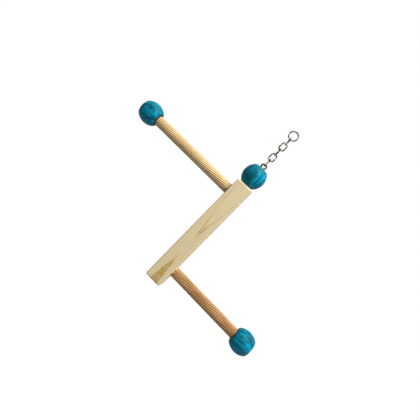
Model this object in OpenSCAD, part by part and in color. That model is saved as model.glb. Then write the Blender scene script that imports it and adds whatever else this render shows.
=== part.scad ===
// Hanging two-step bird swing. A square pine bar hangs from a short chain and carries
// a fluted dowel perch on each side, each perch ending in a dyed wooden bead.
//
// The origin is the point of the hanging ring that bears on its hook, at the top of
// the ring's inside. +Z runs up the chain and the bar, the perches lie along X, and
// the front faces -Y.

/* [Upright bar] */
// Side of the square bar
bar_w = 19; // [17:0.5:30]
// Length of the bar
bar_len = 134.6; // [90:0.2:200]
// Rounding of the bar's four long edges
bar_round = 1.2; // [0.4:0.1:3]
// Chamfer round both ends of the bar
bar_chamfer = 1.5; // [0.3:0.1:2]

/* [Perches] */
// Diameter of the dowel, over its lands
perch_d = 11.4; // [10:0.1:14]
// Flutes round the dowel
flutes = 16; // [12:1:20]
// Depth of a flute
flute_depth = 0.4; // [0.2:0.05:0.6]
// Width of a flute at the dowel's surface
flute_w = 1.3; // [0.8:0.05:1.5]
// Length of dowel in which a flute goes once round
flute_lead = 205; // [150:5:300]
// Depth of the blind hole that holds each perch
perch_seat = 11; // [8:0.5:12]
// Bare length of the upper perch, from the bar to its bead
upper_reach = 105.1; // [50:0.1:140]
// Bare length of the lower perch, from the bar to its bead
lower_reach = 86.8; // [50:0.1:140]
// Axis of the upper perch below the bar's top end
upper_drop = 15.2; // [14:0.1:30]
// Axis of the lower perch above the bar's bottom end
lower_rise = 19.9; // [12:0.1:30]
// Gap for glue all round a dowel in its hole
glue_gap = 0.1; // [0.05:0.01:0.2]
// Chamfer on the mouth of each hole in the bar
hole_chamfer = 0.5; // [0.2:0.05:0.8]

/* [Beads] */
// Diameter of a bead round its middle
bead_d = 25; // [22:0.5:32]
// Length of a perch bead along its bore
bead_len = 21.4; // [18:0.1:24]
// Diameter of the flat at each end of a perch bead
bead_flat = 16.6; // [15:0.1:18]
// Length of the top bead along its bore
top_bead_len = 23.1; // [20:0.1:25]
// Diameter of the flat at each end of the top bead
top_bead_flat = 14; // [13:0.1:16]
// Chamfer at each mouth of a bead's bore
bead_chamfer = 0.8; // [0.2:0.05:1]
// How far a dowel stops short of its bead's outer face
dowel_recess = 1; // [0.2:0.1:3]
// Bore of the top bead
top_bore_d = 5; // [4.4:0.1:6]
// Gap under the top bead, which leaves it free to turn
bead_play = 0.3; // [0.2:0.1:2.5]

/* [Screw eye] */
// Wire of the screw eye
eye_wire = 1.7; // [1.4:0.1:2]
// Inside diameter of the eye
eye_id = 3.6; // [3.4:0.1:4.4]
// Gap where the eye's wire closes on its own shank
eye_close = 0.25; // [0.1:0.05:0.8]
// Length of the screw's point
eye_point = 2.4; // [1.5:0.1:4]
// Wood between the screw's point and the upper perch's hole
eye_wall = 1.2; // [0.8:0.1:3]
// Gap between the eye and the mouth of the top bead
eye_gap = 0.2; // [0.1:0.05:0.4]
// Gap between the shank and its pilot hole
pilot_gap = 0.05; // [0.03:0.01:0.1]

/* [Chain] */
// Wire of a link
link_wire = 1.4; // [1.2:0.1:1.6]
// Inside length of a link
link_len = 7.7; // [6.6:0.1:9]
// Inside width of a link
link_w = 4.4; // [4:0.1:5.4]
// Running gap where two pieces of the chain bear on each other
chain_gap = 0.2; // [0.15:0.05:0.3]

/* [Hanging ring] */
// Outside diameter of the split ring
ring_od = 11; // [10.6:0.1:16]
// Wire of the split ring
ring_wire = 1.1; // [0.9:0.05:1.2]
// Gap between the ring's two turns
ring_gap = 0.1; // [0.08:0.01:0.2]
// Angle each side of the jog at which the ring's wire begins and ends
ring_jog = 28; // [22:1:40]
// Swing of the last link that the ring's section leaves room for
ring_swing = 45; // [30:5:60]

/* [Hidden] */

// Five links, the fifth in the ring and the first in the eye
chain_links = 5;

// Fineness of round surfaces, of the fluted dowel and of the ring's swept wire
round_fn = 96;
bead_steps = 20;
flute_slice = 9;
wire_sides = 8;
ring_step = 12;

// Overrun of every cut
cut = 1;

// Hanging ring: its inside top is the origin
ring_r = (ring_od - ring_wire) / 2;
ring_z = ring_wire / 2 - ring_r;
ring_side = (ring_wire + ring_gap) / 2;
ring_foot = ring_z - ring_r;

// Chain: where each link's lower wire runs, from the ring down
last_seat = ring_wire / 2 + ring_side * sin(ring_swing) + chain_gap;
link_seat = link_wire / 2 + chain_gap;
link_drop = link_len + link_wire / 2;
link_pitch = link_drop - link_seat;
last_pivot = ring_foot + last_seat - link_drop;
function link_pivot(n) = last_pivot - (chain_links - n) * link_pitch;
link_r = (link_w + link_wire) / 2;
link_leg = link_len - link_w;

// Screw eye, which hangs in the first link and nests in the top bead's bore
eye_r = (eye_id + eye_wire) / 2;
eye_z = link_pivot(1) + link_seat - eye_id / 2;
nest_x = sqrt(pow(top_bore_d / 2, 2) - pow(eye_wire / 2, 2)) - eye_gap;
nest_z = sqrt(pow(eye_r + eye_wire / 2, 2) - pow(nest_x, 2));
eye_end = 270 - asin((eye_wire / 2 + eye_close) / eye_r);

// Heights of the beads, the bar and the perches
top_bead_top = eye_z - nest_z;
bar_top = top_bead_top - top_bead_len - bead_play;
bar_bottom = bar_top - bar_len;
upper_z = bar_top - upper_drop;
lower_z = bar_bottom + lower_rise;

// Dowel joints
hole_r = perch_d / 2 + glue_gap;
shank_end = upper_z + hole_r + eye_wall;
upper_len = perch_seat + upper_reach + bead_len - dowel_recess;
lower_len = perch_seat + lower_reach + bead_len - dowel_recess;

nickel = [0.80, 0.79, 0.76];
dyed_blue = [0.09, 0.44, 0.53];
pale_pine = [0.83, 0.76, 0.60];
dowel_wood = [0.72, 0.58, 0.40];

// A piece of wire bent round the Y axis, from one angle to another
module bent_wire(bend_r, wire_d, from, to) {
    rotate([90, 0, 0])
        rotate([0, 0, from])
            rotate_extrude(angle = to - from, $fn = round_fn)
                translate([bend_r, 0])
                    circle(d = wire_d, $fn = round_fn);
}

// An oval link in the XZ plane, hung from the middle of its upper inside
module link() {
    lower_arc = -link_len + link_w / 2;
    translate([0, 0, -link_w / 2])
        bent_wire(link_r, link_wire, 0, 180);
    translate([0, 0, lower_arc])
        bent_wire(link_r, link_wire, 180, 360);
    for (side = [-1, 1])
        translate([side * link_r, 0, lower_arc])
            cylinder(h = link_leg, d = link_wire, $fn = round_fn);
}

// Neighbouring links lie a quarter turn apart, the fifth square to the ring
module chain_link(n) {
    turn = (chain_links - n) % 2 == 0 ? 90 : 0;
    color(nickel)
        translate([0, 0, link_pivot(n) + link_drop])
            rotate([0, 0, turn])
                link();
}

// The split ring's wire: two flat turns side by side, joined by a jog between its ends
function ring_at(a) =
    let (s = min(1, max(-1, (a - 360) / ring_jog)))
    [ring_r * sin(a), ring_side * sin(90 * s), -ring_r * cos(a)];

// One ring of points round the wire, square to the hanging ring's own circle
function wire_ring(a) = [
    for (k = [0:wire_sides - 1])
        let (
            q = (k + 0.5) * 360 / wire_sides,
            out = ring_wire / 2 * cos(q) / cos(180 / wire_sides),
            side = ring_wire / 2 * sin(q) / cos(180 / wire_sides),
            p = ring_at(a)
        )
        [p.x + out * sin(a), p.y + side, p.z - out * cos(a)]
];

module hanging_ring() {
    sweep = 720 - 2 * ring_jog;
    steps = ceil(sweep / ring_step);
    points = [for (i = [0:steps]) each wire_ring(ring_jog + i * sweep / steps)];
    last = steps * wire_sides;
    skin = [
        for (i = [0:steps - 1], k = [0:wire_sides - 1])
            let (
                a = i * wire_sides + k,
                b = i * wire_sides + (k + 1) % wire_sides
            )
            each [[a, b + wire_sides, b], [a, a + wire_sides, b + wire_sides]]
    ];
    first_cap = [for (k = [1:wire_sides - 2]) [0, k, k + 1]];
    last_cap = [for (k = [1:wire_sides - 2]) [last, last + k + 1, last + k]];
    color(nickel)
        translate([0, 0, ring_z])
            polyhedron(points = points, faces = concat(first_cap, skin, last_cap));
}

// One wire: round the eye, over a tight elbow and down the shank to its point
module screw_eye() {
    shank = eye_z - eye_r - shank_end - eye_point;
    color(nickel)
        translate([0, 0, eye_z]) {
            bent_wire(eye_r, eye_wire, -90, eye_end);
            translate([0, 0, -eye_r])
                sphere(d = eye_wire, $fn = round_fn);
            translate([0, 0, -eye_r - shank])
                cylinder(h = shank, d = eye_wire, $fn = round_fn);
            translate([0, 0, -eye_r - shank - eye_point])
                cylinder(h = eye_point, d1 = eye_wire / 6, d2 = eye_wire, $fn = round_fn);
        }
}

// A barrel-shaped bead standing on its lower flat, bored and chamfered at both mouths.
// The arc of its side is struck from beyond the bore's axis.
module bead(bore_r, length, flat) {
    bead_half = length / 2;
    arc_beyond = (pow(flat / 2, 2) + pow(bead_half, 2) - pow(bead_d / 2, 2)) / (bead_d - flat);
    mouth_r = bore_r + bead_chamfer;
    side = [
        for (i = [0:bead_steps])
            let (x = (2 * i / bead_steps - 1) * bead_half)
            [sqrt(pow(bead_d / 2 + arc_beyond, 2) - pow(x, 2)) - arc_beyond, x]
    ];
    mouths = [
        [mouth_r, bead_half],
        [bore_r, bead_half - bead_chamfer],
        [bore_r, -bead_half + bead_chamfer],
        [mouth_r, -bead_half]
    ];
    translate([0, 0, bead_half])
        rotate_extrude($fn = round_fn)
            polygon(concat(side, mouths));
}

module top_bead() {
    color(dyed_blue)
        translate([0, 0, top_bead_top - top_bead_len])
            bead(top_bore_d / 2, top_bead_len, top_bead_flat);
}

// Places a piece drawn up the Z axis so that it runs out of the bar's side:
// dir -1 to the left, 1 to the right, starting at a distance from the bar's middle
module out_of_bar(dir, from, height) {
    translate([dir * from, 0, height])
        rotate([0, dir * 90, 0])
            children();
}

// The square strip, with rounded long edges
module strip() {
    inner = bar_w - 2 * bar_round;
    linear_extrude(bar_len)
        union() {
            square([inner, bar_w], center = true);
            square([bar_w, inner], center = true);
            for (x = [-1, 1], y = [-1, 1])
                translate([x * inner / 2, y * inner / 2])
                    circle(r = bar_round, $fn = round_fn);
        }
}

// The outline that trims the chamfers, seen from one side
module end_trim() {
    rotate([90, 0, 0])
        linear_extrude(bar_w + 2 * cut, center = true)
            polygon([
                [-bar_w / 2 + bar_chamfer, 0],
                [bar_w / 2 - bar_chamfer, 0],
                [bar_w / 2, bar_chamfer],
                [bar_w / 2, bar_len - bar_chamfer],
                [bar_w / 2 - bar_chamfer, bar_len],
                [-bar_w / 2 + bar_chamfer, bar_len],
                [-bar_w / 2, bar_len - bar_chamfer],
                [-bar_w / 2, bar_chamfer]
            ]);
}

// A blind hole for a dowel, with its chamfered mouth, cut from the bar's face inwards
module perch_hole() {
    cylinder(h = perch_seat + cut, r = hole_r, $fn = round_fn);
    translate([0, 0, perch_seat - hole_chamfer])
        cylinder(h = 2 * hole_chamfer, r1 = hole_r, r2 = hole_r + 2 * hole_chamfer, $fn = round_fn);
}

module upright_bar() {
    seat_from = bar_w / 2 - perch_seat;
    color(pale_pine)
        difference() {
            translate([0, 0, bar_bottom])
                intersection() {
                    strip();
                    end_trim();
                    rotate([0, 0, 90])
                        end_trim();
                }
            out_of_bar(-1, seat_from, upper_z)
                perch_hole();
            out_of_bar(1, seat_from, lower_z)
                perch_hole();
            translate([0, 0, shank_end])
                cylinder(h = bar_top - shank_end + cut, r = eye_wire / 2 + pilot_gap, $fn = round_fn);
        }
}

// Section of the dowel: lands on the full circle, with a vee-shaped flute between them
function fluted_outline() =
    let (
        pitch = 360 / flutes,
        half = asin(flute_w / perch_d)
    )
    [
        for (i = [0:flutes - 1])
            each [
                for (p = [[half, 0], [pitch / 2, 0], [pitch - half, 0], [pitch, flute_depth]])
                    (perch_d / 2 - p.y) * [cos(i * pitch + p.x), sin(i * pitch + p.x)]
            ]
    ];

// Left-handed flutes, rolled into the whole length of the dowel
module fluted_dowel(length) {
    turn = 360 * length / flute_lead;
    linear_extrude(length, twist = turn, slices = ceil(turn / flute_slice))
        polygon(fluted_outline());
}

module upper_perch() {
    color(dowel_wood)
        out_of_bar(-1, bar_w / 2 - perch_seat, upper_z)
            fluted_dowel(upper_len);
}

module lower_perch() {
    color(dowel_wood)
        out_of_bar(1, bar_w / 2 - perch_seat, lower_z)
            fluted_dowel(lower_len);
}

module upper_perch_bead() {
    color(dyed_blue)
        out_of_bar(-1, bar_w / 2 + upper_reach, upper_z)
            bead(hole_r, bead_len, bead_flat);
}

module lower_perch_bead() {
    color(dyed_blue)
        out_of_bar(1, bar_w / 2 + lower_reach, lower_z)
            bead(hole_r, bead_len, bead_flat);
}

hanging_ring();
for (n = [1:chain_links])
    chain_link(n);
screw_eye();
top_bead();
upright_bar();
upper_perch();
upper_perch_bead();
lower_perch();
lower_perch_bead();
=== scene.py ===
import math

import bmesh
import bpy
from mathutils import Matrix, Vector


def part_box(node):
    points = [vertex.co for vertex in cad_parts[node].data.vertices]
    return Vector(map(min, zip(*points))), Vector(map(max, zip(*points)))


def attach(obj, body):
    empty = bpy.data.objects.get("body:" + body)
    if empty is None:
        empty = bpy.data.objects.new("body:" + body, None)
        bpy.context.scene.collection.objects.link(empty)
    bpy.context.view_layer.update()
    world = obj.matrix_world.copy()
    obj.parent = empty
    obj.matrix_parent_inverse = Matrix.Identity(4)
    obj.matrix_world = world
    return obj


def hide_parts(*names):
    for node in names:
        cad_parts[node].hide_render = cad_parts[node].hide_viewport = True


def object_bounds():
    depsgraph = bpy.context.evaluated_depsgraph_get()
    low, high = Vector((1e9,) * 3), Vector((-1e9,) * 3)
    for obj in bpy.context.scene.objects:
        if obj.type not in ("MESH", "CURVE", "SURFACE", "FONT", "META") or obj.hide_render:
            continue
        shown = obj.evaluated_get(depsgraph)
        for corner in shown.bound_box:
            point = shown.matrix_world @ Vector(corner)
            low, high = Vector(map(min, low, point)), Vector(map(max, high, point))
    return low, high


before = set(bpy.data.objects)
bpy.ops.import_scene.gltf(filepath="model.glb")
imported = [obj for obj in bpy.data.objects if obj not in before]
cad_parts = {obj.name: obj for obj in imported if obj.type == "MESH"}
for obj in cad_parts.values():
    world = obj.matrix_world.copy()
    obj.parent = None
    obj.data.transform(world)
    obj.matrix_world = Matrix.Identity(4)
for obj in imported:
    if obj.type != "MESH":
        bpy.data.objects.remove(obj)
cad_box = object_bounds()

# The camera stands close in front of the hanging swing, a little to its right, and is rolled
# so that the bar runs up to the right, as in the photograph. Its shift centres the swing as
# the photograph's crop does.
CAMERA_AT = Vector((0.0319, -0.3780, -0.0880))
CAMERA_YAW = math.radians(6.730)
CAMERA_PITCH = math.radians(-1.615)
CAMERA_ROLL = math.radians(44.360)
CAMERA_LENS = 31.76
CAMERA_SHIFT = (-0.0233, -0.0382)
CAMERA_CLIP = 0.01
bpy.ops.object.select_all(action="DESELECT")
bpy.ops.object.camera_add(location=CAMERA_AT)
camera = bpy.context.object
camera.name = "camera"
turn = (
    Matrix.Rotation(CAMERA_YAW, 4, "Z")
    @ Matrix.Rotation(math.pi / 2 + CAMERA_PITCH, 4, "X")
    @ Matrix.Rotation(CAMERA_ROLL, 4, "Z")
)
camera.matrix_world = Matrix.Translation(CAMERA_AT) @ turn
camera.data.lens = CAMERA_LENS
camera.data.shift_x, camera.data.shift_y = CAMERA_SHIFT
camera.data.clip_start = CAMERA_CLIP
bpy.context.scene.camera = camera
bpy.context.scene.view_settings.view_transform = "Standard"


# The studio: a pale paper floor far below the swing, a white surround that the camera and the
# plated wire see, a soft key lamp above and in front, which lights each piece on its upper
# side, and a weak fill lamp at the right.
def linear(hex_colour):
    """An sRGB hex colour as the linear RGBA that a shader socket takes."""
    parts = [int(hex_colour[i:i + 2], 16) / 255 for i in (1, 3, 5)]
    return [c / 12.92 if c <= 0.04045 else ((c + 0.055) / 1.055) ** 2.4 for c in parts] + [1.0]


def put(tree, kind, inputs=None, **settings):
    """Adds one node, sets it up, and links or fills its inputs."""
    node = tree.nodes.new(kind)
    for key, value in settings.items():
        setattr(node, key, value)
    for key, value in (inputs or {}).items():
        if isinstance(value, bpy.types.NodeSocket):
            tree.links.new(value, node.inputs[key])
        else:
            node.inputs[key].default_value = value
    return node


def empty_tree(owner):
    """Gives a material or the world an empty node tree."""
    owner.use_nodes = True
    owner.node_tree.nodes.clear()
    return owner.node_tree


def looked_at(tree):
    """1 for what the camera, a gloss or a glass looks at, and 0 for what only gives light."""
    ray = put(tree, "ShaderNodeLightPath")
    seen = put(tree, "ShaderNodeMath",
               {0: ray.outputs["Is Camera Ray"], 1: ray.outputs["Is Glossy Ray"]},
               operation="MAXIMUM")
    seen = put(tree, "ShaderNodeMath",
               {0: seen.outputs[0], 1: ray.outputs["Is Transmission Ray"]}, operation="MAXIMUM")
    return seen.outputs[0]


WHITE = (1, 1, 1, 1)
SURROUND_LIGHT = 0.20  # what the surround gives as light, while it shows as white
world = bpy.data.worlds.new("white_surround")
bpy.context.scene.world = world
tree = empty_tree(world)
level = put(tree, "ShaderNodeMapRange",
            {"Value": looked_at(tree), "To Min": SURROUND_LIGHT, "To Max": 1.0})
back = put(tree, "ShaderNodeBackground", {"Color": WHITE, "Strength": level.outputs[0]})
put(tree, "ShaderNodeOutputWorld", {"Surface": back.outputs[0]})

# Matt paper, which glows just enough in view to stay white in a corner that the lamps miss
FLOOR_BELOW = 1.2
FLOOR_R = 12
FLOOR_PAPER = "#BCBCBA"
FLOOR_GLOW = 0.93
white_floor = bpy.data.materials.new("white_floor_paper")
tree = empty_tree(white_floor)
seen = looked_at(tree)
paper = put(tree, "ShaderNodeBsdfDiffuse", {"Color": linear(FLOOR_PAPER)})
glow = put(tree, "ShaderNodeEmission", {"Color": WHITE, "Strength": FLOOR_GLOW})
both = put(tree, "ShaderNodeAddShader", {0: paper.outputs[0], 1: glow.outputs[0]})
mixed = put(tree, "ShaderNodeMixShader", {0: seen, 1: paper.outputs[0], 2: both.outputs[0]})
put(tree, "ShaderNodeOutputMaterial", {"Surface": mixed.outputs[0]})
bpy.ops.object.select_all(action="DESELECT")
bpy.ops.mesh.primitive_circle_add(vertices=128, radius=FLOOR_R, fill_type="NGON",
                                  location=(0, 0, cad_box[0][2] - FLOOR_BELOW))
floor = bpy.context.object
floor.name = "floor"
floor.data.materials.append(white_floor)

# Each lamp's place, width in metres, power in watts and colour
LIT_POINT = Vector((0, 0, -0.12))
for name, place, width, power, tone in (
        ("key_lamp", (0.23, -0.45, 1.08), 0.7, 27.5, "#FFFAF4"),
        ("fill_lamp", (0.75, -0.72, -0.25), 0.8, 2.7, "#F7FAFF")):
    lamp = bpy.data.lights.new(name, "AREA")
    lamp.shape = "DISK"
    lamp.size = width
    lamp.energy = power
    lamp.color = linear(tone)[:3]
    holder = bpy.data.objects.new(name, lamp)
    bpy.context.scene.collection.objects.link(holder)
    holder.location = place
    holder.rotation_euler = (LIT_POINT - Vector(place)).to_track_quat("-Z", "Y").to_euler()


# The upright bar: one square strip of pale pine, planed and sanded, its edges eased, which
# keeps its solid. It is flat-sawn, so its rings come out on the face as a brown flame at the
# foot and a long open vee above it.
MM = 1000  # millimetres in a metre: all patterns are worked out in millimetres
bar_low, bar_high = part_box("upright_bar")

# Heights on the bar, in millimetres above its foot
FLAME_TIP = 48.0
VEE_OPENS = (44.0, 50.0)
FLAME_FADES = (30.0, 60.0)
VEE_FADES = (75.0, 115.0)
SEAM_RISES = (70.0, 110.0)
# The ring figure: a saddle about the flame's tip, in square millimetres across the face
FIGURE_STRETCH = 9.5
FIGURE_DIVE = 3.4
FIGURE_DRIFT = (-2.4, -0.4)
FEATHER = 3.0
LATEWOOD = (0.2, -4.0)
EARLYWOOD_CORE = (-5.0, -11.0)
OUTER_RINGS_FROM = 30.0
OUTER_RINGS = 0.62
# The late ring that runs up the face near its left edge: its place and half widths in mm
SEAM_AT = -7.2
SEAM_HALF = (0.15, 0.75)
# Sizes of the grain's features across, through and along the strip, in millimetres. A real
# fibre is 0.03 mm across and would not show, so each streak stands for a bundle of them.
DRIFT_SIZE = (8.333, 8.333, 33.33)
FIBRE_SIZE = (0.4545, 0.4545, 11.11)
MOTTLE_SIZE = (2.222, 2.222, 4.545)
DUCT_SIZE = (0.9091, 0.9091, 6.25)
FIBRE_RELIEF = 0.00006
SPRING_PINE = "#E3D3AA"
LATE_PINE = "#B9984F"

# Planed pine is matt, cream where it grew in spring and ochre where it grew late
pine = bpy.data.materials.new("planed_pine")
tree = empty_tree(pine)
place = put(tree, "ShaderNodeTexCoord")
mm = put(tree, "ShaderNodeMapping",
         {"Vector": place.outputs["Object"], "Scale": (MM, MM, MM),
          "Location": (0, bar_high.y * MM, -bar_low.z * MM)})
axes = put(tree, "ShaderNodeSeparateXYZ", {"Vector": mm.outputs[0]})
drift = put(tree, "ShaderNodeTexNoise",
            {"Vector": put(tree, "ShaderNodeMapping",
                           {"Vector": mm.outputs[0],
                            "Scale": [1 / size for size in DRIFT_SIZE]}).outputs[0],
             "Scale": 1.0, "Detail": 3.0})
drift = put(tree, "ShaderNodeMapRange",
            {"Value": drift.outputs["Fac"],
             "To Min": FIGURE_DRIFT[0], "To Max": FIGURE_DRIFT[1]})
across = put(tree, "ShaderNodeMath", {0: axes.outputs["X"], 1: drift.outputs[0]},
             operation="ADD")
square = put(tree, "ShaderNodeMath", {0: across.outputs[0], 1: across.outputs[0]},
             operation="MULTIPLY")
along = put(tree, "ShaderNodeMath", {0: axes.outputs["Z"], 1: FLAME_TIP}, operation="SUBTRACT")
along = put(tree, "ShaderNodeMath", {0: along.outputs[0], 1: FIGURE_STRETCH},
            operation="DIVIDE")
along = put(tree, "ShaderNodeMath", {0: along.outputs[0], 1: along.outputs[0]},
            operation="MULTIPLY")
figure = put(tree, "ShaderNodeMath", {0: square.outputs[0], 1: along.outputs[0]},
             operation="SUBTRACT")
depth = put(tree, "ShaderNodeMath", {0: axes.outputs["Y"], 1: FIGURE_DIVE},
            operation="MULTIPLY")
figure = put(tree, "ShaderNodeMath", {0: figure.outputs[0], 1: depth.outputs[0]},
             operation="ADD")
fibre = put(tree, "ShaderNodeTexNoise",
            {"Vector": put(tree, "ShaderNodeMapping",
                           {"Vector": mm.outputs[0],
                            "Scale": [1 / size for size in FIBRE_SIZE]}).outputs[0],
             "Scale": 1.0, "Detail": 4.0, "Roughness": 0.6})
feather = put(tree, "ShaderNodeMapRange",
              {"Value": fibre.outputs["Fac"], "From Min": 0.3, "From Max": 0.7,
               "To Min": -FEATHER, "To Max": FEATHER})
figure = put(tree, "ShaderNodeMath", {0: figure.outputs[0], 1: feather.outputs[0]},
             operation="ADD")
# Latewood: a solid flame below, and above it a band that is open in its middle
late = put(tree, "ShaderNodeMapRange",
           {"Value": figure.outputs[0], "From Min": LATEWOOD[0], "From Max": LATEWOOD[1]},
           interpolation_type="SMOOTHSTEP")
core = put(tree, "ShaderNodeMapRange",
           {"Value": figure.outputs[0],
            "From Min": EARLYWOOD_CORE[0], "From Max": EARLYWOOD_CORE[1]},
           interpolation_type="SMOOTHSTEP")
upper = put(tree, "ShaderNodeMapRange",
            {"Value": axes.outputs["Z"], "From Min": VEE_OPENS[0], "From Max": VEE_OPENS[1]})
core = put(tree, "ShaderNodeMath", {0: core.outputs[0], 1: upper.outputs[0]},
           operation="MULTIPLY")
vee = put(tree, "ShaderNodeMath", {0: late.outputs[0], 1: core.outputs[0]},
          operation="SUBTRACT", use_clamp=True)
for heights, faded in ((FLAME_FADES, 0.85), (VEE_FADES, 0.4)):
    fade = put(tree, "ShaderNodeMapRange",
               {"Value": axes.outputs["Z"], "From Min": heights[0], "From Max": heights[1],
                "To Min": 1.0, "To Max": faded})
    vee = put(tree, "ShaderNodeMath", {0: vee.outputs[0], 1: fade.outputs[0]},
              operation="MULTIPLY")
mottle = put(tree, "ShaderNodeTexNoise",
             {"Vector": put(tree, "ShaderNodeMapping",
                            {"Vector": mm.outputs[0],
                             "Scale": [1 / size for size in MOTTLE_SIZE]}).outputs[0],
              "Scale": 1.0, "Detail": 3.0})
mottle = put(tree, "ShaderNodeMapRange",
             {"Value": mottle.outputs["Fac"], "From Min": 0.35, "From Max": 0.65,
              "To Min": 0.55, "To Max": 1.15})
vee = put(tree, "ShaderNodeMath", {0: vee.outputs[0], 1: mottle.outputs[0]},
          operation="MULTIPLY")
# Fainter rings outside it, which close up with distance, and on the sides and back
outer = put(tree, "ShaderNodeMath", {0: figure.outputs[0], 1: OUTER_RINGS_FROM},
            operation="ADD")
for number, step in ((0.0, "MAXIMUM"), (0.5, "POWER"), (OUTER_RINGS, "MULTIPLY"),
                     (1.0, "FLOORED_MODULO")):
    outer = put(tree, "ShaderNodeMath", {0: outer.outputs[0], 1: number}, operation=step)
outer = put(tree, "ShaderNodeMapRange",
            {"Value": outer.outputs[0], "From Min": 0.55, "From Max": 0.95,
             "To Min": 0.0, "To Max": 0.20}, interpolation_type="SMOOTHSTEP")
seam = put(tree, "ShaderNodeMath", {0: across.outputs[0], 1: SEAM_AT}, operation="SUBTRACT")
seam = put(tree, "ShaderNodeMath", {0: seam.outputs[0]}, operation="ABSOLUTE")
seam = put(tree, "ShaderNodeMapRange",
           {"Value": seam.outputs[0], "From Min": SEAM_HALF[0], "From Max": SEAM_HALF[1],
            "To Min": 0.34, "To Max": 0.0})
rise = put(tree, "ShaderNodeMapRange",
           {"Value": axes.outputs["Z"], "From Min": SEAM_RISES[0], "From Max": SEAM_RISES[1]})
seam = put(tree, "ShaderNodeMath", {0: seam.outputs[0], 1: rise.outputs[0]},
           operation="MULTIPLY")
# Resin ducts: short brown dashes. Fibres: streaks half a millimetre across
duct = put(tree, "ShaderNodeTexNoise",
           {"Vector": put(tree, "ShaderNodeMapping",
                          {"Vector": mm.outputs[0],
                           "Scale": [1 / size for size in DUCT_SIZE]}).outputs[0],
            "Scale": 1.0, "Detail": 2.0})
duct = put(tree, "ShaderNodeMapRange",
           {"Value": duct.outputs["Fac"], "From Min": 0.64, "From Max": 0.74,
            "To Min": 0.0, "To Max": 0.30})
streak = put(tree, "ShaderNodeMapRange",
             {"Value": fibre.outputs["Fac"], "From Min": 0.3, "From Max": 0.7,
              "To Min": -0.10, "To Max": 0.12})
brown = vee
for figured in (outer, seam, duct):
    brown = put(tree, "ShaderNodeMath", {0: brown.outputs[0], 1: figured.outputs[0]},
                operation="MAXIMUM")
brown = put(tree, "ShaderNodeMath", {0: brown.outputs[0], 1: streak.outputs[0]},
            operation="ADD", use_clamp=True)
tone = put(tree, "ShaderNodeMix",
           {"Factor": brown.outputs[0], "A": linear(SPRING_PINE), "B": linear(LATE_PINE)},
           data_type="RGBA")
bump = put(tree, "ShaderNodeBump",
           {"Height": fibre.outputs["Fac"], "Strength": 0.25, "Distance": FIBRE_RELIEF})
wood = put(tree, "ShaderNodeBsdfPrincipled",
           {"Base Color": tone.outputs["Result"], "Roughness": 0.62, "Normal": bump.outputs[0]})
put(tree, "ShaderNodeOutputMaterial", {"Surface": wood.outputs[0]})
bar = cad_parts["upright_bar"]
bar.data.materials.clear()
bar.data.materials.append(pine)


# The two perches: round hardwood dowels with sixteen shallow flutes rolled into them in a slow
# left-handed spiral. Each is glued into the bar at one end and into its bead at the other.
PERCH_R = 0.0057
FLUTES = 16
FLUTE_DEPTH = 0.0004
FLUTE_LEAD = 0.205
FLUTE_STEPS = 240
POINTS_A_FLUTE = 8
# How far down a flute's points lie, as a share of its depth, from its middle outwards
FLUTE_FORM = ((1.0, (0,)), (0.62, (1, POINTS_A_FLUTE - 1)), (0.14, (2, POINTS_A_FLUTE - 2)))
# Sizes of the dowel's fibres and of its paler and darker stretches, along it and across, in mm
DOWEL_FIBRE_SIZE = (10.0, 0.5882, 0.5882)
DOWEL_PATCH_SIZE = (33.33, 6.25, 6.25)
FLUTE_BOTTOM_MM = (PERCH_R - FLUTE_DEPTH) * MM
DARK_RING_AT_BEAD = "#1C1C12"
FLUTE_EDGE = math.radians(50)


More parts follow.
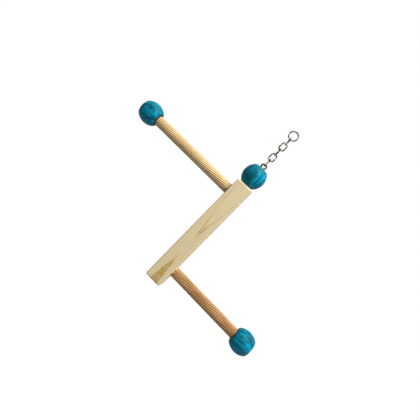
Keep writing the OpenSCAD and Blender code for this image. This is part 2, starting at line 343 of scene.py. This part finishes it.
def dowel_wood(name, light, dark, groove_shade_colour, axis_z, bead_face, ring_width):
    """Rolled hardwood dowel, satin from the rollers: fibres along it, painted shade that darkens
    the bottom of each flute, and a dark ring on the dowel next to the bead."""
    made = bpy.data.materials.new(name)
    tree = empty_tree(made)
    place = put(tree, "ShaderNodeTexCoord")
    mm = put(tree, "ShaderNodeMapping",
             {"Vector": place.outputs["Object"], "Scale": (MM, MM, MM),
              "Location": (0, 0, -axis_z * MM)})
    axes = put(tree, "ShaderNodeSeparateXYZ", {"Vector": mm.outputs[0]})
    flat = put(tree, "ShaderNodeCombineXYZ", {"Y": axes.outputs["Y"], "Z": axes.outputs["Z"]})
    radius = put(tree, "ShaderNodeVectorMath", {0: flat.outputs[0]}, operation="LENGTH")
    # Painted shade: darker towards the bottom of each flute
    painted_groove_shade = put(tree, "ShaderNodeMapRange",
                 {"Value": radius.outputs["Value"], "From Min": FLUTE_BOTTOM_MM,
                  "From Max": PERCH_R * MM, "To Min": 1.0, "To Max": 0.0})
    # Only the rolled side gets the painted shade, so the sawn end inside that radius stays plain
    rolled = put(tree, "ShaderNodeMapRange",
                 {"Value": radius.outputs["Value"], "From Min": FLUTE_BOTTOM_MM - 0.1,
                  "From Max": FLUTE_BOTTOM_MM - 0.02})
    painted_groove_shade = put(tree, "ShaderNodeMath", {0: painted_groove_shade.outputs[0], 1: rolled.outputs[0]},
                 operation="MULTIPLY")
    fibre = put(tree, "ShaderNodeTexNoise",
                {"Vector": put(tree, "ShaderNodeMapping",
                               {"Vector": mm.outputs[0],
                                "Scale": [1 / size for size in DOWEL_FIBRE_SIZE]}).outputs[0],
                 "Scale": 1.0, "Detail": 4.0, "Roughness": 0.62})
    patch = put(tree, "ShaderNodeTexNoise",
                {"Vector": put(tree, "ShaderNodeMapping",
                               {"Vector": mm.outputs[0],
                                "Scale": [1 / size for size in DOWEL_PATCH_SIZE]}).outputs[0],
                 "Scale": 1.0, "Detail": 2.0})
    faint = put(tree, "ShaderNodeMath", {0: fibre.outputs["Fac"], 1: 0.4},
                operation="MULTIPLY")
    mixed = put(tree, "ShaderNodeMath", {0: faint.outputs[0], 1: patch.outputs["Fac"]},
                operation="ADD")
    grain = put(tree, "ShaderNodeMapRange",
                {"Value": mixed.outputs[0], "From Min": 0.46, "From Max": 0.94})
    tone = put(tree, "ShaderNodeMix",
               {"Factor": grain.outputs[0], "A": linear(light), "B": linear(dark)},
               data_type="RGBA")
    tone = put(tree, "ShaderNodeMix",
               {"Factor": painted_groove_shade.outputs[0], "A": tone.outputs["Result"], "B": linear(groove_shade_colour)},
               data_type="RGBA")
    # A dark ring on the dowel next to its bead
    ring_at_bead = put(tree, "ShaderNodeMath", {0: axes.outputs["X"], 1: bead_face * MM},
                operation="SUBTRACT")
    ring_at_bead = put(tree, "ShaderNodeMath", {0: ring_at_bead.outputs[0]}, operation="ABSOLUTE")
    ring_at_bead = put(tree, "ShaderNodeMapRange",
                {"Value": ring_at_bead.outputs[0], "From Min": 0.7 * ring_width * MM,
                 "From Max": 1.3 * ring_width * MM, "To Min": 0.92, "To Max": 0.0})
    tone = put(tree, "ShaderNodeMix",
               {"Factor": ring_at_bead.outputs[0], "A": tone.outputs["Result"],
                "B": linear(DARK_RING_AT_BEAD)}, data_type="RGBA")
    bump = put(tree, "ShaderNodeBump",
               {"Height": fibre.outputs["Fac"], "Strength": 0.3, "Distance": FIBRE_RELIEF})
    wood = put(tree, "ShaderNodeBsdfPrincipled",
               {"Base Color": tone.outputs["Result"], "Roughness": 0.5,
                "Specular IOR Level": 0.25, "Normal": bump.outputs[0]})
    put(tree, "ShaderNodeOutputMaterial", {"Surface": wood.outputs[0]})
    return made


def pick(piece, test):
    """Selects the vertices that pass a test, and no others, on a piece in edit mode."""
    bpy.ops.mesh.select_all(action="DESELECT")
    shape = bmesh.from_edit_mesh(piece.data)
    for vertex in shape.verts:
        vertex.select = test(vertex)
    bmesh.update_edit_mesh(piece.data)


# Each perch's node, side of the bar, width of its dark ring at the bead, and its wood's name,
# light and dark tone and painted shade for the flute bottoms: the upper one is pale and the lower
# one, another stick, is redder
for node, side, ring_width, wood in (
        ("upper_perch", -1, 0.0011, ("upper_dowel_wood", "#F0D7A8", "#D8B678", "#7E5A22")),
        ("lower_perch", 1, 0.0006, ("lower_dowel_wood", "#E8BA80", "#A26C34", "#180600"))):
    low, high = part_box(node)
    bead_low, bead_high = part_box(node + "_bead")
    bead_face = bead_high.x if side < 0 else bead_low.x
    length = high.x - low.x
    axis_z = (low.z + high.z) / 2
    start = Vector((low.x if side > 0 else high.x, 0, axis_z))
    bpy.ops.object.select_all(action="DESELECT")
    bpy.ops.mesh.primitive_circle_add(vertices=FLUTES * POINTS_A_FLUTE, radius=PERCH_R,
                                      fill_type="NOTHING", location=start,
                                      rotation=(0, side * math.pi / 2, 0))
    perch = bpy.context.object
    perch.name = node + "_dowel"
    bpy.ops.object.mode_set(mode="EDIT")
    for share, offsets in FLUTE_FORM:
        pick(perch, lambda vertex: vertex.index % POINTS_A_FLUTE in offsets)
        bpy.ops.transform.resize(value=[1 - share * FLUTE_DEPTH / PERCH_R] * 3,
                                 center_override=start)
    bpy.ops.object.mode_set(mode="OBJECT")
    twist = perch.modifiers.new("roll", "SCREW")
    twist.axis = "Z"
    twist.screw_offset = length
    twist.angle = -math.tau * length / FLUTE_LEAD
    twist.steps = twist.render_steps = FLUTE_STEPS
    twist.use_merge_vertices = False
    bpy.ops.object.modifier_apply(modifier="roll")
    bpy.ops.object.mode_set(mode="EDIT")
    bpy.ops.mesh.select_all(action="SELECT")
    bpy.ops.mesh.fill_holes(sides=0)
    bpy.ops.mesh.select_all(action="SELECT")
    bpy.ops.mesh.normals_make_consistent(inside=False)
    bpy.ops.object.mode_set(mode="OBJECT")
    bpy.ops.object.transform_apply(location=True, rotation=True, scale=True)
    bpy.ops.object.shade_smooth_by_angle(angle=FLUTE_EDGE)
    perch.data.materials.append(dowel_wood(*wood, axis_z, bead_face, ring_width))
    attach(perch, "swing_bar")
    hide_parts(node)


# Where a perch was driven into the bar, glue came out round it and dried as a thin uneven
# fillet. There is one at each perch, and none shows at the beads.
GLUE_R = 0.0010
GLUE_UNEVEN = 0.0009
GLUE_LUMP = 0.003
GLUE_SHADE_MM = 2.0
GLUE_SEGMENTS = (96, 12)
THIN_GLUE_AND_PAINTED_LIGHT = "#CDAE80"
THICK_GLUE_AND_PAINTED_SHADE = "#482606"

# Dried wood glue is glassy and amber, and brown where it is thick. Its colour is also painted
# paler on its upper side and browner on its underside, as painted light and shade.
dried_glue = bpy.data.materials.new("dried_wood_glue")
tree = empty_tree(dried_glue)
place = put(tree, "ShaderNodeTexCoord")
mm = put(tree, "ShaderNodeMapping", {"Vector": place.outputs["Object"], "Scale": (MM, MM, MM)})
thickness_and_painted_shade = put(tree, "ShaderNodeTexNoise",
            {"Vector": mm.outputs[0], "Scale": 1 / GLUE_SHADE_MM, "Detail": 2.0})
# Painted light and shade: paler where the fillet faces up, browner where it faces down
facing = put(tree, "ShaderNodeSeparateXYZ", {"Vector": place.outputs["Normal"]})
painted_light_and_shade = put(tree, "ShaderNodeMath", {0: facing.outputs["Z"], 1: -0.3}, operation="MULTIPLY")
thickness_and_painted_shade = put(tree, "ShaderNodeMath", {0: thickness_and_painted_shade.outputs["Fac"], 1: painted_light_and_shade.outputs[0]},
            operation="ADD")
thickness_and_painted_shade = put(tree, "ShaderNodeMapRange",
            {"Value": thickness_and_painted_shade.outputs[0], "From Min": 0.40, "From Max": 0.60})
tone = put(tree, "ShaderNodeMix",
           {"Factor": thickness_and_painted_shade.outputs[0], "A": linear(THIN_GLUE_AND_PAINTED_LIGHT), "B": linear(THICK_GLUE_AND_PAINTED_SHADE)},
           data_type="RGBA")
glue = put(tree, "ShaderNodeBsdfPrincipled",
           {"Base Color": tone.outputs["Result"], "Roughness": 0.32})
put(tree, "ShaderNodeOutputMaterial", {"Surface": glue.outputs[0]})
for side, node in ((-1, "upper_perch"), (1, "lower_perch")):
    low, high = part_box(node)
    bpy.ops.object.select_all(action="DESELECT")
    bpy.ops.mesh.primitive_torus_add(
        major_radius=PERCH_R, minor_radius=GLUE_R,
        major_segments=GLUE_SEGMENTS[0], minor_segments=GLUE_SEGMENTS[1],
        location=(side * bar_high.x, 0, (low.z + high.z) / 2), rotation=(0, math.pi / 2, 0))
    fillet = bpy.context.object
    fillet.name = node + "_glue"
    bpy.ops.object.transform_apply(location=True, rotation=True, scale=True)
    squeezed = bpy.data.textures.new(node + "_squeeze", "CLOUDS")
    squeezed.noise_scale = GLUE_LUMP
    uneven = fillet.modifiers.new("squeezed_out", "DISPLACE")
    uneven.texture = squeezed
    uneven.strength = GLUE_UNEVEN
    bpy.ops.object.modifier_apply(modifier="squeezed_out")
    bpy.ops.object.shade_smooth()
    fillet.data.materials.append(dried_glue)
    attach(fillet, "swing_bar")


# The three beads: beech turned to a barrel with flat ends, bored through and chamfered at the
# mouths. Two are glued on the perches, and the top one, a little longer, turns loose on the
# screw eye's shank.
BEAD_R = 0.0125
MOUTH = 0.0008
FLAT_ROUND = 0.0010
MOUTH_ROUND = 0.0003
ROUND_ROOM = 1.4 * FLAT_ROUND
ROUND_STEPS = 6
BARREL_POINTS = 160
TURN_STEPS = 96
RIM_EDGE = math.radians(35)
# How near a point has to be: to a radius, to an end's plane, and to a cut, where Blender's
# own 0.1 mm would let the cut snap to a point of the arc
NEAR = 0.00005
ON_PLANE = 0.000001
ON_CUT = 0.0000001
# Sizes of the beech's figure along the grain and across it, in millimetres. Its pores are a
# sixth of that, which is coarser than the real ones, so that they show.
BEECH_ALONG = 20.0
BEECH_ACROSS = 3.333
PORES_IN_GRAIN = 6
PORE_RELIEF = 0.00012
# How far one bead's place in the wood is from the next one's
NEXT_IN_WOOD = Vector((37.0, 11.0, 5.0))
# The nearly black end grain round the bore, pooled dye and painted shade in the mouths: where
# it starts to fade and ends, past the bore
DYE_POOL_AND_SHADE_MM = (1.0, 1.7)
DEEP_DYE = "#003046"
BRIGHT_DYE = "#00A8CC"
THIN_DYE = "#006A6C"
PIT_DYE = "#00202C"
POOLED_DYE_AND_SHADE = "#04131A"


def dyed_wood(name, along, seed, axis_z, bore_r):
    """Dyed beech with a dull polish: the open grain takes more dye, so it shows as darker arcs
    and short pits, and the end grain round the bore is nearly black, partly from pooled dye and
    partly as painted shade in the mouths."""
    made = bpy.data.materials.new(name)
    tree = empty_tree(made)
    place = put(tree, "ShaderNodeTexCoord")
    mm = put(tree, "ShaderNodeMapping",
             {"Vector": place.outputs["Object"], "Scale": (MM, MM, MM),
              "Location": seed * NEXT_IN_WOOD})
    sizes = ((BEECH_ALONG, BEECH_ACROSS, BEECH_ACROSS) if along == "X"
             else (BEECH_ACROSS, BEECH_ACROSS, BEECH_ALONG))
    grain = put(tree, "ShaderNodeMapping",
                {"Vector": mm.outputs[0], "Scale": [1 / size for size in sizes]})
    fine = put(tree, "ShaderNodeMapping",
               {"Vector": mm.outputs[0], "Scale": [PORES_IN_GRAIN / size for size in sizes]})
    broad = put(tree, "ShaderNodeTexNoise",
                {"Vector": grain.outputs[0], "Scale": 1.0, "Detail": 3.0, "Distortion": 0.6})
    pores = put(tree, "ShaderNodeTexNoise",
                {"Vector": fine.outputs[0], "Scale": 1.0, "Detail": 5.0, "Roughness": 0.65})
    patch = put(tree, "ShaderNodeTexNoise",
                {"Vector": grain.outputs[0], "Scale": 0.6, "Detail": 2.0})
    both = put(tree, "ShaderNodeMath", {0: broad.outputs["Fac"], 1: pores.outputs["Fac"]},
               operation="ADD")
    dye = put(tree, "ShaderNodeMapRange",
              {"Value": both.outputs[0], "From Min": 0.81, "From Max": 1.24})
    tone = put(tree, "ShaderNodeMix",
               {"Factor": dye.outputs[0], "A": linear(DEEP_DYE), "B": linear(BRIGHT_DYE)},
               data_type="RGBA")
    # Greener patches, where the yellow wood shows through thin dye
    patch = put(tree, "ShaderNodeMapRange",
                {"Value": patch.outputs["Fac"], "From Min": 0.5, "From Max": 0.62,
                 "To Min": 0.0, "To Max": 0.65})
    tone = put(tree, "ShaderNodeMix",
               {"Factor": patch.outputs[0], "A": tone.outputs["Result"],
                "B": linear(THIN_DYE)}, data_type="RGBA")
    pit = put(tree, "ShaderNodeMapRange",
              {"Value": pores.outputs["Fac"], "From Min": 0.60, "From Max": 0.72,
               "To Min": 0.0, "To Max": 0.4})
    tone = put(tree, "ShaderNodeMix",
               {"Factor": pit.outputs[0], "A": tone.outputs["Result"],
                "B": linear(PIT_DYE)}, data_type="RGBA")
    across = (0, MM, MM) if along == "X" else (MM, MM, 0)
    off_axis = put(tree, "ShaderNodeMapping",
                   {"Vector": place.outputs["Object"], "Scale": across,
                    "Location": (0, 0, -axis_z * across[2])})
    radius = put(tree, "ShaderNodeVectorMath", {0: off_axis.outputs[0]}, operation="LENGTH")
    # Darker round the bore: pooled dye, and painted shade in the chamfered mouths
    dye_pool_and_shade = put(tree, "ShaderNodeMapRange",
                 {"Value": radius.outputs["Value"], "From Min": bore_r * MM + DYE_POOL_AND_SHADE_MM[0],
                  "From Max": bore_r * MM + DYE_POOL_AND_SHADE_MM[1], "To Min": 0.93, "To Max": 0.0})
    tone = put(tree, "ShaderNodeMix",
               {"Factor": dye_pool_and_shade.outputs[0], "A": tone.outputs["Result"],
                "B": linear(POOLED_DYE_AND_SHADE)}, data_type="RGBA")
    bump = put(tree, "ShaderNodeBump",
               {"Height": pores.outputs["Fac"], "Strength": 0.35, "Distance": PORE_RELIEF})
    wood = put(tree, "ShaderNodeBsdfPrincipled",
               {"Base Color": tone.outputs["Result"], "Roughness": 0.5,
                "Specular IOR Level": 0.10, "Normal": bump.outputs[0]})
    put(tree, "ShaderNodeOutputMaterial", {"Surface": wood.outputs[0]})
    return made


# Each kind's nodes, body, grain direction, bore radius, radius of its flat ends and grain seed
for nodes, body, along, bore_r, flat_r, seed in (
        (("upper_perch_bead", "lower_perch_bead"), "swing_bar", "X", 0.0058, 0.0083, 1),
        (("top_bead",), "top_bead", "Z", 0.0025, 0.0070, 3)):
    low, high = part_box(nodes[0])
    half = (high.x - low.x if along == "X" else high.z - low.z) / 2
    # The barrel is one arc, whose centre lies beyond the axis
    beyond = (flat_r ** 2 + half ** 2 - BEAD_R ** 2) / (2 * (BEAD_R - flat_r))
    bpy.ops.object.select_all(action="DESELECT")
    bpy.ops.mesh.primitive_circle_add(vertices=BARREL_POINTS, radius=BEAD_R + beyond,
                                      fill_type="NOTHING", location=(-beyond, 0, 0),
                                      rotation=(math.pi / 2, 0, 0))
    turned = bpy.context.object
    bpy.ops.object.transform_apply(location=True, rotation=True, scale=True)
    bpy.ops.object.mode_set(mode="EDIT")
    for at, facing in (((0, 0, half), (0, 0, 1)), ((0, 0, -half), (0, 0, -1)),
                       ((0, 0, 0), (-1, 0, 0))):
        bpy.ops.mesh.select_all(action="SELECT")
        bpy.ops.mesh.bisect(plane_co=at, plane_no=facing, clear_outer=True,
                            threshold=ON_CUT)
    # The arc's points next to the ends go, so that the rims' rounding has room
    pick(turned, lambda vertex:
         half - ROUND_ROOM < abs(vertex.co.z) < half - ON_PLANE)
    bpy.ops.mesh.dissolve_verts()
    # Flat ends, chamfered mouths, and the bore between them
    for end in (1, -1):
        pick(turned, lambda vertex: vertex.co.z * end > half - ON_PLANE)
        bpy.ops.mesh.extrude_vertices_move(
            TRANSFORM_OT_translate={"value": (bore_r + MOUTH - flat_r, 0, 0)})
        bpy.ops.mesh.extrude_vertices_move(
            TRANSFORM_OT_translate={"value": (-MOUTH, 0, -end * MOUTH)})
    pick(turned, lambda vertex: vertex.co.x < bore_r + NEAR)
    bpy.ops.mesh.edge_face_add()
    for corner_r, rounding in ((flat_r, FLAT_ROUND), (bore_r + MOUTH, MOUTH_ROUND)):
        pick(turned, lambda vertex:
             abs(vertex.co.x - corner_r) < NEAR and abs(vertex.co.z) > half - ON_PLANE)
        bpy.ops.mesh.bevel(affect="VERTICES", offset=rounding, segments=ROUND_STEPS)
    bpy.ops.mesh.select_all(action="SELECT")
    bpy.ops.mesh.spin(steps=TURN_STEPS, angle=math.tau, center=(0, 0, 0), axis=(0, 0, 1))
    bpy.ops.mesh.select_all(action="SELECT")
    bpy.ops.mesh.remove_doubles(threshold=ON_PLANE)
    bpy.ops.mesh.normals_make_consistent(inside=False)
    bpy.ops.object.mode_set(mode="OBJECT")
    bpy.ops.object.shade_smooth_by_angle(angle=RIM_EDGE)
    for copy, node in enumerate(nodes):
        bead = turned if copy == len(nodes) - 1 else turned.copy()
        if bead is not turned:
            bead.data = turned.data.copy()
            bpy.context.scene.collection.objects.link(bead)
        bead.name = node + "_turned"
        low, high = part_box(node)
        tilt = Matrix.Rotation(math.pi / 2, 4, "Y") if along == "X" else Matrix.Identity(4)
        bead.data.transform(Matrix.Translation((low + high) / 2) @ tilt)
        bead.data.materials.append(
            dyed_wood(node + "_dyed_beech", along, seed + copy, (low.z + high.z) / 2, bore_r))
        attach(bead, body)
        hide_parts(node)


# The screw eye, the chain and its ring keep their solids: drawn steel wire, bent to shape and
# bright nickel plated.
SCUFF_MM = 0.5
DARK_REFLECTION_MM = 2.381
SCUFF_RELIEF = 0.00005
WARM_NICKEL = "#B4A994"
PAINTED_DARK_REFLECTION = "#140C06"

# Nickel plate mirrors the white surround, warm and bright, and nearly black patches are painted
# into its colour as painted reflections of a dark room. Its scuffs are drawn coarser than real
# ones, so they show.
nickel = bpy.data.materials.new("bright_nickel_plate")
tree = empty_tree(nickel)
place = put(tree, "ShaderNodeTexCoord")
mm = put(tree, "ShaderNodeMapping", {"Vector": place.outputs["Object"], "Scale": (MM, MM, MM)})
scuff = put(tree, "ShaderNodeTexNoise",
            {"Vector": mm.outputs[0], "Scale": 1 / SCUFF_MM, "Detail": 3.0})
polish = put(tree, "ShaderNodeMapRange",
             {"Value": scuff.outputs["Fac"], "To Min": 0.12, "To Max": 0.30})
# Painted reflection: nearly black patches of a dark room, painted into the plate's colour
painted_dark_reflection = put(tree, "ShaderNodeTexNoise",
              {"Vector": mm.outputs[0], "Scale": 1 / DARK_REFLECTION_MM, "Detail": 2.0})
painted_dark_reflection = put(tree, "ShaderNodeMapRange",
              {"Value": painted_dark_reflection.outputs["Fac"], "From Min": 0.38, "From Max": 0.49})
tone = put(tree, "ShaderNodeMix",
           {"Factor": painted_dark_reflection.outputs[0], "A": linear(WARM_NICKEL), "B": linear(PAINTED_DARK_REFLECTION)},
           data_type="RGBA")
bump = put(tree, "ShaderNodeBump",
           {"Height": scuff.outputs["Fac"], "Strength": 0.15, "Distance": SCUFF_RELIEF})
plate = put(tree, "ShaderNodeBsdfPrincipled",
            {"Base Color": tone.outputs["Result"], "Metallic": 1.0,
             "Roughness": polish.outputs[0], "Normal": bump.outputs[0]})
put(tree, "ShaderNodeOutputMaterial", {"Surface": plate.outputs[0]})
for node in ["hanging_ring", "screw_eye"] + [f"chain_link_{n}" for n in range(1, 6)]:
    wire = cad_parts[node]
    wire.data.materials.clear()
    wire.data.materials.append(nickel)
